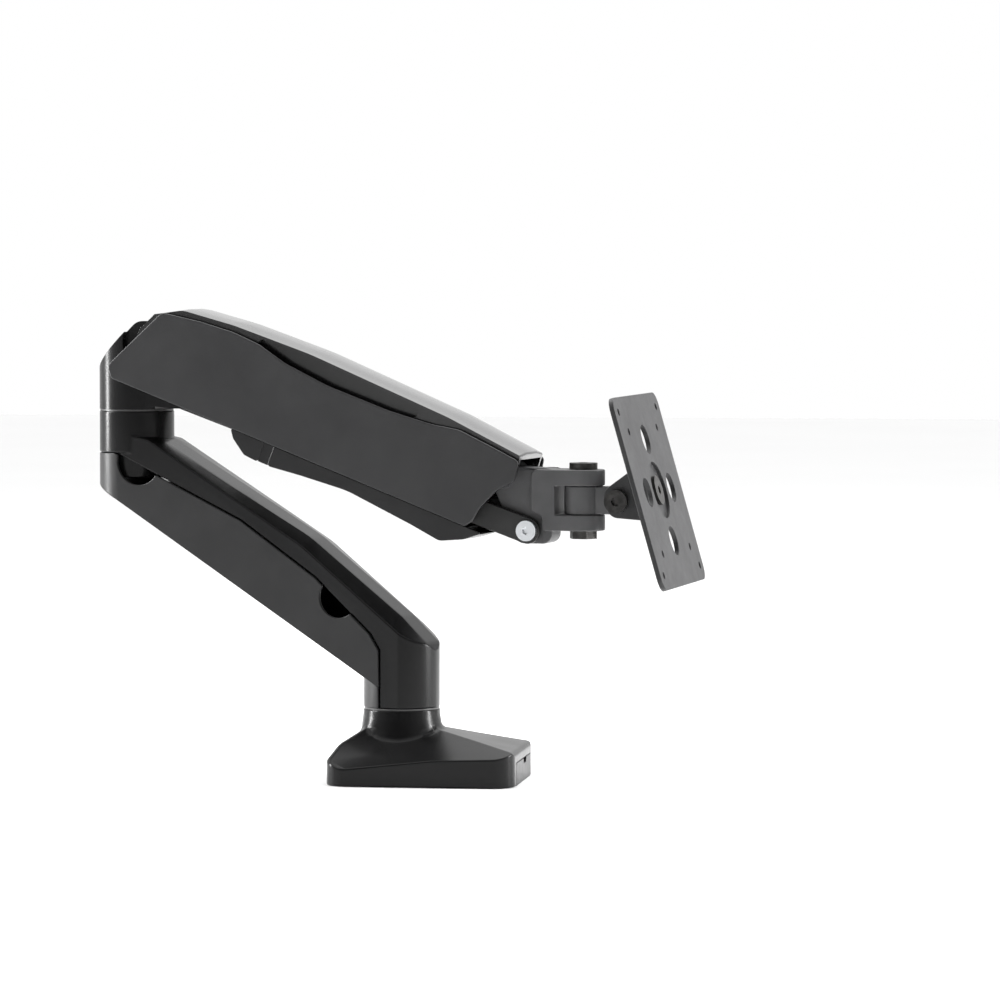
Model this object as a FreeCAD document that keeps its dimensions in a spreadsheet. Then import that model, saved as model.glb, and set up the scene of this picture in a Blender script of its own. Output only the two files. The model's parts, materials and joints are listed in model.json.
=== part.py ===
"""Gas-spring monitor arm for a desk: base, raised lower arm, sprung upper arm, head and display plate.

World frame in millimetres: the origin is on the base swivel axis at the desk surface, +Z is up and +X runs
along the base towards its front end.  Every piece is drawn in the local frame of the member that it belongs to
(x along the member, y across it, z up) and is then placed with that frame.
"""
import FreeCAD, Part
import math
import os
import re
import Sketcher
from FreeCAD import Placement, Rotation, Vector

SIZES = {
    # fits and common fasteners
    "running_clearance": 0.05,
    "side_clearance": 0.3,
    "wear_ring_thickness": 1.0,
    # base
    "base_front": 74,
    "base_rear": 40,
    "base_half_width": 48,
    "base_corner_radius": 13,
    "base_seam_height": 44.3,
    "base_rim": 5,
    "base_cavity_height": 7,
    "desk_pad_thickness": 1.5,
    "base_plate_thickness": 3.5,
    "clamp_hole_radius": 3.4,
    "clamp_hole_spacing": 50,
    "grommet_hole_radius": 4.25,
    "hatch_half_width": 31,
    "hatch_height": 13.5,
    "hatch_thickness": 2.5,
    # posts and spindles
    "post_radius": 23,
    "collar_foot_radius": 25.8,
    "spindle_radius": 11,
    "bush_wall": 2,
    "bush_length": 12,
    "boss_radius": 18,
    "grub_radius": 3,
    # lower arm
    "lower_arm_yaw": 162.4,
    "lower_arm_reach": 182.8,
    "elbow_seam_height": 220.6,
    "lower_arm_half_width": 21.5,
    "lower_arm_top_half_width": 8,
    "cover_wall": 2.2,
    "channel_half_width": 15.5,
    # upper arm
    "upper_arm_yaw": -11,
    "upper_arm_slope": 20.7,
    "lift_pivot_ahead": 18,
    "lift_pivot_height": 263,
    "pivot_span": 236.2,
    "pivot_rise": 5.9,
    "link_drop": 33.5,
    "link_ahead": 17.9,
    "core_half_width": 21.5,
    "core_inner_half_width": 19,
    "core_upper_inner_half_width": 15.5,
    "crown_half_width": 9,
    "side_cover_inside": 23.4,
    "side_cover_thickness": 2,
    "lift_pin_radius": 5,
    # elbow bracket
    "bracket_floor": 10.4,
    "cheek_inside": 14.5,
    "cheek_outside": 18.7,
    "knuckle_clear_radius": 17.9,
    # gas spring
    "spring_lever": 20,
    "spring_pin_radius": 3.5,
    "spring_slot_reach": 3.1,
    "spring_slot_clearance": 0.6,
    "spring_radius": 9,
    "spring_rod_radius": 4,
    "spring_front": 200,
    "spring_axis_drop": 17.2,
    "spring_front_drop": 2.9,
    # link
    "link_inside": 10,
    "link_outside": 14,
    "link_eye_radius": 7.7,
    "link_pin_radius": 4,
    "link_cover_half_width": 18,
    # head
    "swivel_ahead": 49,
    "swivel_drop": 15.05,
    "swivel_pin_radius": 5,
    "knuckle_radius": 11.5,
    "knuckle_height": 17,
    "ear_thickness": 9.5,
    "head_half_width": 13,
    "head_web_half_width": 9,
    "head_yaw": 4.6,
    "tilt_ahead": 24,
    "tilt_pin_radius": 4,
    "tilt_up": 16,
    "plate_back": 17,
    "plate_dish_depth": 2.5,
    "plate_dish_radius": 20,
    "scoop_depth": 4.3,
    "collar_fillet_radius": 5,
    "plate_thickness": 3,
    "plate_half_size": 59,
    "plate_corner_radius": 8,
    "vesa_small": 75,
    "vesa_large": 100,
    "vesa_hole_radius": 2.25,
    "plate_pivot_radius": 5,
}

document = FreeCAD.newDocument("MonitorArm")
sheet = document.addObject("Spreadsheet::Sheet", "Sizes")
for row, (alias, number) in enumerate(SIZES.items(), start=1):
    sheet.set(f"A{row}", alias)
    sheet.set(f"B{row}", str(number))
    sheet.setAlias(f"B{row}", alias)
document.recompute()

NODES = []


def size(alias):
    return float(sheet.get(alias))


def bind(thing, name, formula):
    """Bind a property to a formula that uses the aliases of the sheet."""
    thing.setExpression(name, re.sub(r"[a-z]+(_[a-z]+)+", r"Sizes.\g<0>", str(formula)))


def node(thing, label):
    thing.Label = label
    NODES.append(thing)
    return thing


# ---------------------------------------------------------------- frames of the members

post = size("post_radius")
reach = size("lower_arm_reach")
base_seam = size("base_seam_height")
elbow_seam = size("elbow_seam_height")
lower_yaw = math.radians(size("lower_arm_yaw"))

BASE = Placement()
LOWER = Placement(Vector(0, 0, 0), Rotation(Vector(0, 0, 1), size("lower_arm_yaw")))
ELBOW = Placement(
    Vector(reach * math.cos(lower_yaw), reach * math.sin(lower_yaw), 0),
    Rotation(Vector(0, 0, 1), size("upper_arm_yaw")),
)
LIFT_PIVOT = Vector(size("lift_pivot_ahead"), 0, size("lift_pivot_height"))
ARM = ELBOW * Placement(LIFT_PIVOT, Rotation(Vector(0, 1, 0), size("upper_arm_slope")))
HEAD_PIVOT = Vector(size("pivot_span"), 0, size("pivot_rise"))
HEAD = ARM * Placement(HEAD_PIVOT, Rotation(Vector(0, 1, 0), -size("upper_arm_slope")))
YOKE = HEAD * Placement(
    Vector(size("swivel_ahead"), 0, -size("swivel_drop")), Rotation(Vector(0, 0, 1), size("head_yaw"))
)
TILT = YOKE * Placement(Vector(size("tilt_ahead"), 0, 0), Rotation(Vector(0, 1, 0), -size("tilt_up")))
PLATE = TILT * Placement(Vector(size("plate_back"), 0, 0), Rotation())

slope = math.radians(size("upper_arm_slope"))
LINK_DROP = Vector(size("link_ahead"), 0, -size("link_drop"))
LOWER_PIVOT = LIFT_PIVOT + LINK_DROP
LINK_REAR = Vector(
    LINK_DROP.x * math.cos(slope) - LINK_DROP.z * math.sin(slope),
    0,
    LINK_DROP.x * math.sin(slope) + LINK_DROP.z * math.cos(slope),
)
LINK_FRONT = LINK_REAR + HEAD_PIVOT
SPRING_PIVOT = LIFT_PIVOT - Vector(0, 0, size("spring_lever"))

# ---------------------------------------------------------------- drawing helpers


def outline_edges(corners):
    """Edges of a closed outline of straight runs; each corner (x, z, radius) has its own radius."""
    ends = []
    count = len(corners)
    for index, corner in enumerate(corners):
        here = Vector(corner[0], corner[1], 0)
        radius = corner[2] if len(corner) > 2 else 0
        if radius == 0:
            ends.append((here, None, here))
            continue
        before = corners[index - 1]
        after = corners[(index + 1) % count]
        back = (Vector(before[0], before[1], 0) - here).normalize()
        ahead = (Vector(after[0], after[1], 0) - here).normalize()
        half_angle = back.getAngle(ahead) / 2
        run = radius / math.tan(half_angle)
        middle = here + (back + ahead).normalize() * (radius / math.sin(half_angle) - radius)
        ends.append((here + back * run, middle, here + ahead * run))
    edges = []
    for index, (start, middle, end) in enumerate(ends):
        if middle is not None:
            edges.append(Part.Arc(start, middle, end))
        following = ends[(index + 1) % count][0]
        if (following - end).Length > 1e-6:
            edges.append(Part.LineSegment(end, following))
    return edges


def box_corners(low_x, high_x, low_z, high_z, radius=0):
    return [(low_x, low_z, radius), (high_x, low_z, radius), (high_x, high_z, radius),
        (low_x, high_z, radius)]


def new_body(label, frame):
    body = document.addObject("PartDesign::Body", label)
    body.Placement = frame
    return node(body, label)


def sketch_on(body, role, offset):
    """Sketch on an origin plane of the body, moved along the plane's normal."""
    sketch = body.newObject("Sketcher::SketchObject", "Sketch")
    plane = [feature for feature in body.Origin.OriginFeatures if feature.Role == role][0]
    sketch.AttachmentSupport = [(plane, "")]
    sketch.MapMode = "FlatFace"
    sketch.AttachmentOffset = Placement(Vector(0, 0, offset), Rotation())
    return sketch


def draw(body, role, offset, corners):
    sketch = sketch_on(body, role, offset)
    for edge in outline_edges(corners):
        sketch.addGeometry(edge, False)
    return sketch


def draw_circles(body, role, offset, centres, radius_formula):
    """Circles that share one radius, which is bound to the sheet."""
    sketch = sketch_on(body, role, offset)
    for index, (x, z) in enumerate(centres):
        sketch.addGeometry(Part.Circle(Vector(x, z, 0), Vector(0, 0, 1), 1), False)
        constraint = sketch.addConstraint(Sketcher.Constraint("Radius", index, 1.0))
        sketch.renameConstraint(constraint, f"radius_{index}")
        bind(sketch, f"Constraints.radius_{index}", radius_formula)
    return sketch


def pad(body, sketch, length):
    feature = body.newObject("PartDesign::Pad", "Pad")
    feature.Profile = sketch
    bind(feature, "Length", length)
    document.recompute()
    return feature


def pocket(body, sketch, length, upward=False):
    """Cut a sketch out of the body, and stop if nothing was cut."""
    document.recompute()
    before = body.Shape.Volume
    feature = body.newObject("PartDesign::Pocket", "Pocket")
    feature.Profile = sketch
    feature.Reversed = upward
    bind(feature, "Length", length)
    document.recompute()
    if body.Shape.Volume > before - 0.01:
        raise RuntimeError(f"{body.Label}: a pocket cuts nothing")
    return feature


def slab(body, corners, low, high):
    """Add an x-z outline between two y positions (numbers or formulas of the sheet)."""
    sketch = draw(body, "XZ_Plane", 0, corners)
    bind(sketch, "AttachmentOffset.Base.z", f"-({high})")
    return pad(body, sketch, f"({high}) - ({low})")


def slot(body, corners, low, high):
    """Cut an x-z outline between two y positions."""
    sketch = draw(body, "XZ_Plane", 0, corners)
    bind(sketch, "AttachmentOffset.Base.z", f"-({low})")
    return pocket(body, sketch, f"({high}) - ({low})")


def cross_hole(body, centres, radius, low, high):
    """Round holes along y."""
    sketch = draw_circles(body, "XZ_Plane", 0, centres, radius)
    bind(sketch, "AttachmentOffset.Base.z", f"-({low})")
    return pocket(body, sketch, f"({high}) - ({low})")


def upright(body, corners, low, high):
    """Add an x-y outline between two heights."""
    sketch = draw(body, "XY_Plane", 0, corners)
    bind(sketch, "AttachmentOffset.Base.z", low)
    return pad(body, sketch, f"({high}) - ({low})")


def upright_round(body, centres, radius, low, high):
    sketch = draw_circles(body, "XY_Plane", 0, centres, radius)
    bind(sketch, "AttachmentOffset.Base.z", low)
    return pad(body, sketch, f"({high}) - ({low})")


def upright_slot(body, corners, low, high):
    sketch = draw(body, "XY_Plane", 0, corners)
    bind(sketch, "AttachmentOffset.Base.z", low)
    return pocket(body, sketch, f"({high}) - ({low})", upward=True)


def upright_hole(body, centres, radius, low, high):
    sketch = draw_circles(body, "XY_Plane", 0, centres, radius)
    bind(sketch, "AttachmentOffset.Base.z", low)
    return pocket(body, sketch, f"({high}) - ({low})", upward=True)


def round_edges(body, radius, wanted):
    """Fillet the edges for which wanted(edge) is true."""
    document.recompute()
    names = [f"Edge{number}" for number, edge in enumerate(body.Shape.Edges, start=1) if wanted(edge)]
    tip = body.Tip
    feature = body.newObject("PartDesign::Fillet", "Fillet")
    feature.Base = (tip, names)
    bind(feature, "Radius", radius)
    document.recompute()
    return feature


TURN = {"x": Rotation(Vector(0, 1, 0), 90), "y": Rotation(Vector(1, 0, 0), -90), "z": Rotation()}


def rod(radius, length, frame, start, axis="z"):
    """Cylinder from a start point along an axis of a member's frame."""
    solid = document.addObject("Part::Cylinder", "Rod")
    bind(solid, "Radius", radius)
    bind(solid, "Height", length)
    solid.Placement = frame * Placement(start, TURN[axis])
    return solid


def socket(solid, radius, depth, frame, start, axis="z"):
    """Cut a six-sided drive socket."""
    prism = document.addObject("Part::Prism", "Socket")
    prism.Polygon = 6
    bind(prism, "Circumradius", radius)
    bind(prism, "Height", depth)
    prism.Placement = frame * Placement(start, TURN[axis])
    return cut(solid, prism)


def cut(base, tool):
    feature = document.addObject("Part::Cut", "Cut")
    feature.Base = base
    feature.Tool = tool
    return feature


def fuse(pieces):
    feature = document.addObject("Part::MultiFuse", "Fuse")
    feature.Shapes = pieces
    return feature


def ring(label, outer, inner, length, frame, start, axis="z"):
    return node(cut(rod(outer, length, frame, start, axis), rod(inner, length, frame, start, axis)), label)


# ---------------------------------------------------------------- base


def loft_sections(body, role, sections):
    """Ruled loft of a body through parallel sections; each is an offset and its corners."""
    sketches = [draw(body, role, offset, corners) for offset, corners in sections]
    loft = body.newObject("PartDesign::AdditiveLoft", "Loft")
    loft.Profile = sketches[0]
    loft.Sections = sketches[1:]
    loft.Ruled = True
    document.recompute()
    return loft


def trim_outside(body, role, offset, corners, margin=30):
    """Cut away what lies outside an outline, all along the normal of its plane."""
    sketch = sketch_on(body, role, offset)
    across = [corner[0] for corner in corners]
    along = [corner[1] for corner in corners]
    around = box_corners(min(across) - margin, max(across) + margin, min(along) - margin,
        max(along) + margin)
    for edge in outline_edges(around) + outline_edges(corners):
        sketch.addGeometry(edge, False)
    pocket(body, sketch, 400, upward=role != "XZ_Plane")


def base_casting():
    """Sculpted foot: low steep rear, long front shoulder, and a round collar under the wear ring."""
    body = new_body("base_casting", BASE)
    front = size("base_front")
    rear = size("base_rear")
    side = size("base_half_width")
    corner = size("base_corner_radius")
    collar_top = base_seam - size("wear_ring_thickness")
    shoulder = collar_top - 9

    def section(side_height, ridge):
        half = [(side, 0), (side, side_height), (ridge, shoulder)]
        return half + [(-y, z) for y, z in reversed(half)]

    loft_sections(body, "YZ_Plane", [(-rear, section(9, 18)), (front * 0.34, section(16, 4)),
        (front, section(17.5, 1))])
    profile = [
        (-rear, -1), (front, -1), (front, shoulder - 14, 4), (post + 2, shoulder - 3, 30),
        (-post + 3, shoulder - 2, 6), (-rear + 6, shoulder - 11, 12), (-rear, shoulder - 20, 5),
    ]
    trim_outside(body, "XZ_Plane", side + 20, profile)
    foot_radius = size("collar_foot_radius")
    sketch = draw(body, "XZ_Plane", 0, [(0, 10), (foot_radius + 1.5, 10), (post, collar_top),
        (0, collar_top)])
    turned = body.newObject("PartDesign::Revolution", "Revolution")
    turned.Profile = sketch
    turned.ReferenceAxis = (sketch, ["V_Axis"])
    turned.Angle = 360
    document.recompute()

    def collar_radius(height):
        return foot_radius + 1.5 - (foot_radius + 1.5 - post) * (height - 10) / (collar_top - 10)

    def where_collar_meets_foot(edge):
        curved = edge.Curve.TypeId != "Part::GeomLine"
        spots = edge.discretize(7)
        on_collar = all(abs(math.hypot(spot.x, spot.y) - collar_radius(spot.z)) < 0.05 for spot in spots)
        return curved and on_collar and edge.BoundBox.ZMax < collar_top - 2

    round_edges(body, "collar_fillet_radius", where_collar_meets_foot)
    trim_outside(body, "XY_Plane", -20, box_corners(-rear, front, -side, side, corner))
    rim = size("base_rim")
    cavity = size("base_cavity_height")
    upright_slot(body, box_corners(-rear + rim, front - rim, -side + rim, side - rim, corner - rim),
        0, cavity)
    upright_hole(body, [(0, 0)], "spindle_radius", 0, 60)
    half = size("hatch_half_width")
    hatch = box_corners(-half, half, -1, size("hatch_height"), 0.8)
    sketch = draw(body, "YZ_Plane", front - size("hatch_thickness"), hatch)
    pocket(body, sketch, 20, upward=True)
    return body


def base_pieces():
    casting = base_casting()
    side = size("base_half_width")
    front = size("base_front")
    rear = size("base_rear")
    rim = size("base_rim")
    corner = size("base_corner_radius") - rim
    gap = size("side_clearance")
    pad_top = size("desk_pad_thickness")
    steel = size("base_plate_thickness")
    spacing = size("clamp_hole_spacing") / 2
    clamp_holes = [(front / 2 - 17, -spacing), (front / 2 - 17, spacing)]

    plate = new_body("base_plate", BASE)
    inner = box_corners(-rear + rim + gap, front - rim - gap, -side + rim + gap, side - rim - gap,
        corner - gap)
    upright(plate, inner, "desk_pad_thickness", "desk_pad_thickness + base_plate_thickness")
    upright_hole(plate, clamp_holes, "clamp_hole_radius", 0, 30)
    upright_hole(plate, [(0, 0)], "spindle_radius", 0, 30)
    corner_spots = [(x, y) for x in (-rear + 13, front - 14) for y in (-side + 13, side - 13)]
    upright_hole(plate, corner_spots, 2.2, 0, 30)

    rubber = new_body("desk_pad", BASE)
    upright(rubber, inner, 0, "desk_pad_thickness")
    upright_hole(rubber, clamp_holes, 7, 0, 30)
    upright_hole(rubber, [(0, 0)], "spindle_radius", 0, 30)
    upright_hole(rubber, corner_spots, 4.5, 0, 30)

    screws = []
    for x, y in corner_spots:
        screws.append(rod(3.6, 1.2, BASE, Vector(x, y, pad_top - 1.2)))
        screws.append(rod(2, steel + 2, BASE, Vector(x, y, pad_top)))
    node(fuse(screws), "base_plate_screws")
    for x, y in corner_spots:
        upright_hole(casting, [(x, y)], 2, 0, steel + pad_top + 2.2)

    pin = rod("spindle_radius", base_seam + 40, BASE, Vector(0, 0, 0))
    thread = rod("grommet_hole_radius", 22, BASE, Vector(0, 0, 0))
    groove = ring_tool(size("spindle_radius") + 1, size("spindle_radius") - 1.5, 8, BASE,
        Vector(0, 0, base_seam + 17))
    node(cut(cut(pin, thread), groove), "base_spindle")

    ring("base_wear_ring", "post_radius - 0.4", "spindle_radius + 0.05", size("wear_ring_thickness") - 0.05,
         BASE, Vector(0, 0, base_seam - size("wear_ring_thickness")))

    hatch = new_body("front_hatch", BASE)
    half = size("hatch_half_width") - 0.15
    height = size("hatch_height") - 0.15
    notch = [(-half, 0, 0), (half, 0, 0), (half, height, 0.7), (14, height, 0), (13, height - 3, 0),
             (3, height - 3, 0), (2, height, 0), (-half, height, 0.7)]
    sketch = draw(hatch, "YZ_Plane", front - size("hatch_thickness"), notch)
    pad(hatch, sketch, "hatch_thickness")


def ring_tool(outer, inner, length, frame, start, axis="z"):
    return cut(rod(outer, length, frame, start, axis), rod(inner, length, frame, start, axis))


# ---------------------------------------------------------------- lower arm
# In this frame the base axis is x = 0 and the elbow axis is x = reach.


def stadium(extra=0.0):
    """Plan outline round both posts."""
    radius = post + extra
    return [(-radius, -radius, radius - 0.01), (reach + radius, -radius, radius - 0.01),
            (reach + radius, radius, radius - 0.01), (-radius, radius, radius - 0.01)]


def trim_to_plan(body, inset):
    """Round the ends of the member in plan to the posts' radius."""
    trim_outside(body, "XY_Plane", 0, stadium(-inset))


def split_line(lower_by=0.0):
    """Line between the casting and the clip-on cover, from the elbow end down to the base seam."""
    return [
        (reach + 26, elbow_seam - 25.6 - lower_by),
        (reach + 3, elbow_seam - 25.6 - lower_by),
        (reach - 84, elbow_seam - 64.9 - lower_by),
        (reach - 135, base_seam + 78.1 - lower_by),
        (10.4 + lower_by, base_seam + 44.9 - lower_by * 0.4),
        (4.4 + lower_by, base_seam + 35.4),
        (4.4 + lower_by, base_seam),
    ]


def top_line(rise):
    """Upper edge of the arm at one station across it; rise lifts it from the side crease to the crown."""
    return [
        (-post - 0.5, base_seam + 33 + rise[3], 12),
        (-4.2, base_seam + 49 + rise[2], 30),
        (reach - 125, elbow_seam - 79 + rise[1], 60),
        (reach - 20, elbow_seam - 17.6 + rise[0], 0),
        (reach + 8, elbow_seam - 12 + rise[0], 0),
    ]


def lower_arm_casting():
    body = new_body("lower_arm_casting", LOWER)
    side = size("lower_arm_half_width")
    flat = size("lower_arm_top_half_width")
    crease = [0, 0, 0, 0]
    crown = [1.5, 4, 6, 4]
    lower_edge = [(reach + 8, elbow_seam - 25.6)] + split_line()[1:] + [(-post - 0.5, base_seam)]
    stations = ((-side, crease), (-flat, crown), (flat, crown), (side, crease))
    loft_sections(body, "XZ_Plane", [(-y, top_line(rise) + lower_edge) for y, rise in stations])
    upright_round(body, [(reach, 0)], "post_radius", "elbow_seam_height - 25.6", "elbow_seam_height")
    trim_to_plan(body, 0)
    # cable channel on the underside between the two bearing bosses
    wall = size("channel_half_width")
    channel = [
        (reach - 22, 20), (reach - 22, elbow_seam - 27), (reach - 84, elbow_seam - 58),
        (reach - 125, base_seam + 86),
        (22, base_seam + 62), (22, 20),
    ]
    slot(body, channel, f"-{wall}", wall)
    bore_top = base_seam + 42
    upright_round(body, [(0, 0)], "boss_radius", "base_seam_height", base_seam + 40)
    upright_round(body, [(reach, 0)], "boss_radius", elbow_seam - 41, elbow_seam - 20)
    upright_hole(body, [(0, 0)], "spindle_radius + bush_wall", 0, bore_top)
    upright_hole(body, [(reach, 0)], "spindle_radius + bush_wall", elbow_seam - 39, elbow_seam + 20)
    cross_hole(body, [(0, base_seam + 21), (reach, elbow_seam - 21)], "grub_radius", -40, 0)
    return body


def under_line(inset):
    """Lower edge of the cable cover, from the base post up to the elbow end; inset moves it inwards."""
    lift = inset * 1.2
    foot = split_line()[-1][0]
    fall = 0.606
    bend_height = elbow_seam - 54.5
    return [
        (foot, bend_height - (reach + 2 - foot) * fall + lift, 0),
        (reach + 2, bend_height + lift, 16),
        (reach + post + 0.3 + 40 * (inset > 0), elbow_seam - 44 + inset * 0.6 + 20 * (inset > 0),
            8 * (inset == 0)),
    ]


def post_skirt(body, radius, start, foot, top):
    """Part of a post's wall on the elbow side of a plane."""
    half = math.sqrt(radius**2 - start**2)
    sketch = sketch_on(body, "XY_Plane", foot)
    first = Vector(start, -half, 0)
    last = Vector(start, half, 0)
    sketch.addGeometry(Part.Arc(first, Vector(radius, 0, 0), last), False)
    sketch.addGeometry(Part.LineSegment(last, first), False)
    pad(body, sketch, top - foot)


def lower_cable_cover():
    """Clip-on cover: a channel of thin wall under the casting, with half-moon slots for cables."""
    body = new_body("lower_cable_cover", LOWER)
    wall = size("cover_wall")
    upper = split_line(size("side_clearance"))
    slab(body, under_line(0) + upper[:-1], "-post_radius", "post_radius")
    trim_to_plan(body, 0)
    post_skirt(body, post, upper[-1][0], base_seam, base_seam + 30)
    space = document.addObject("PartDesign::Body", "CoverSpace")
    inner = under_line(wall) + [(reach + 60, elbow_seam), (-60, elbow_seam), (-60, base_seam + 12)]
    slab(space, inner, f"-post_radius + {wall}", f"post_radius - {wall}")
    trim_to_plan(space, wall)
    upright_round(space, [(0, 0)], f"post_radius - {wall}", base_seam - 5, base_seam + 30)
    hollow = body.newObject("PartDesign::Boolean", "Hollow")
    hollow.Type = "Cut"
    hollow.addObject(space)
    document.recompute()
    for along, radius in ((reach - 13.5, 14.5), (reach - 151, 12.5)):
        cross_hole(body, [(along, split_height(along) + 2.5)], radius, -40, 40)
    return body


def split_height(x):
    line = split_line()
    for (far_x, far_z), (near_x, near_z) in zip(line, line[1:]):
        if near_x <= x <= far_x:
            return near_z + (far_z - near_z) * (x - near_x) / (far_x - near_x)
    return line[-1][1]


def lower_arm_pieces():
    lower_arm_casting()
    lower_cable_cover()
    bush = size("bush_length")
    for label, along, foot in (
        ("base_bush_lower", 0, base_seam + 0.5),
        ("base_bush_upper", 0, base_seam + 28),
        ("elbow_bush_lower", reach, elbow_seam - 38),
        ("elbow_bush_upper", reach, elbow_seam - bush - 0.5),
    ):
        ring(label, "spindle_radius + bush_wall", "spindle_radius + running_clearance", bush,
             LOWER, Vector(along, 0, foot))
    ring("elbow_wear_ring", "post_radius - 0.4", "spindle_radius + 0.4", size("wear_ring_thickness") - 0.05,
         LOWER, Vector(reach, 0, elbow_seam))
    for label, along, height, frame in (
        ("base_grub_screw", 0, base_seam + 21, LOWER),
        ("elbow_grub_screw", reach, elbow_seam - 21, LOWER),
    ):
        inner = size("spindle_radius") - 1
        head = Vector(along, 2 - post, height)
        screw = rod("grub_radius", post - 2 - inner, frame, head, "y")
        node(socket(screw, 1.6, 3, frame, head, "y"), label)


# ---------------------------------------------------------------- elbow
# In this frame the elbow axis is x = 0 and heights are above the desk.


def elbow_bracket():
    body = new_body("elbow_bracket", ELBOW)
    foot = elbow_seam + size("wear_ring_thickness")
    top = LIFT_PIVOT.z + 13
    ahead = LIFT_PIVOT.x
    upright_round(body, [(0, 0)], "post_radius", foot, top + 5)
    slant_low = LIFT_PIVOT.z - 18
    profile = [
        (-post - 2, foot - 1), (post + 1, foot - 1), (post + 1, top, 3), (ahead - 10, top, 9),
        (-post - 2, slant_low - 1.5),
    ]
    trim_outside(body, "XZ_Plane", 60, profile)
    cheek = [
        (post - 4, foot + 2, 3), (LOWER_PIVOT.x - 4, LOWER_PIVOT.z - 7),
        (LOWER_PIVOT.x + 7, LOWER_PIVOT.z - 7, 6.5),
        (LOWER_PIVOT.x + 7, LOWER_PIVOT.z + 7, 6), (ahead + 13, LIFT_PIVOT.z - 6, 5), (ahead + 13, top, 12),
        (ahead - 10, top - 0.5, 6), (-3, LIFT_PIVOT.z), (-3, foot + 2),
    ]
    inside = size("cheek_inside")
    outside = size("cheek_outside")
    slab(body, cheek, "-cheek_outside", "cheek_outside")
    knuckle = "knuckle_clear_radius"
    for low, high in (("cheek_outside", 40), (-40, "-cheek_outside")):
        cross_hole(body, [(ahead, LIFT_PIVOT.z)], knuckle, low, high)
    room = [(-7, foot + size("bracket_floor")), (60, foot + size("bracket_floor")), (60, top + 9),
        (ahead - 8, top + 9),
            (ahead - 19, LIFT_PIVOT.z + 1), (-7, LIFT_PIVOT.z - 12)]
    slot(body, room, f"-{inside}", inside)
    below = [(post - 5, foot - 3), (60, foot - 3), (60, foot + 14), (post - 5, foot + 14)]
    slot(body, below, f"-{inside}", inside)
    cross_hole(body, [(ahead, LIFT_PIVOT.z)], "lift_pin_radius", -40, 40)
    cross_hole(body, [(LOWER_PIVOT.x, LOWER_PIVOT.z)], "link_pin_radius", -40, 40)
    cross_hole(body, [(SPRING_PIVOT.x, SPRING_PIVOT.z)], "spring_pin_radius", -17, 17)
    upright_hole(body, [(0, 0)], "spindle_radius", 0, foot + 40)
    return body


def elbow_pieces():
    elbow_bracket()
    foot = elbow_seam + size("wear_ring_thickness")
    floor = foot + size("bracket_floor")
    spindle = rod("spindle_radius", floor - (elbow_seam - 38), ELBOW, Vector(0, 0, elbow_seam - 38))
    groove = ring_tool(size("spindle_radius") + 1, size("spindle_radius") - 1.5, 8, ELBOW,
        Vector(0, 0, elbow_seam - 25))
    node(cut(spindle, groove), "elbow_spindle")
    outer = size("core_half_width")
    pin = rod("lift_pin_radius", 2 * outer, ELBOW, LIFT_PIVOT - Vector(0, outer, 0), "y")
    node(pin, "lift_pin")
    inner = size("link_inside")
    cheek = size("cheek_outside")
    stubs = [
        rod("link_pin_radius", cheek - inner, ELBOW, LOWER_PIVOT + Vector(0, side, 0),
            "y") for side in (inner, -cheek)
    ]
    node(fuse(stubs), "link_rear_pins")
    width = 16.5
    node(rod("spring_pin_radius", 2 * width, ELBOW, SPRING_PIVOT - Vector(0, width, 0), "y"),
        "spring_rear_pin")


# ---------------------------------------------------------------- upper arm
# In this frame the lift pivot is the origin and x runs down the arm to the head.

HEAD_X = HEAD_PIVOT.x
HEAD_Z = HEAD_PIVOT.z


def crown_line(rise):
    """Top of the core from the front mouth back to the knuckle."""
    return [
        (HEAD_X + 11, 22.5 + rise, 1.5),
        (HEAD_X - 40, 27.5 + rise, 80),
        (100, 31 + rise, 200),
        (48, 29.5 + rise, 90),
        (13, 26 + rise * 0.6, 14),
        (2.5, 20.3, 0),
    ]


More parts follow.
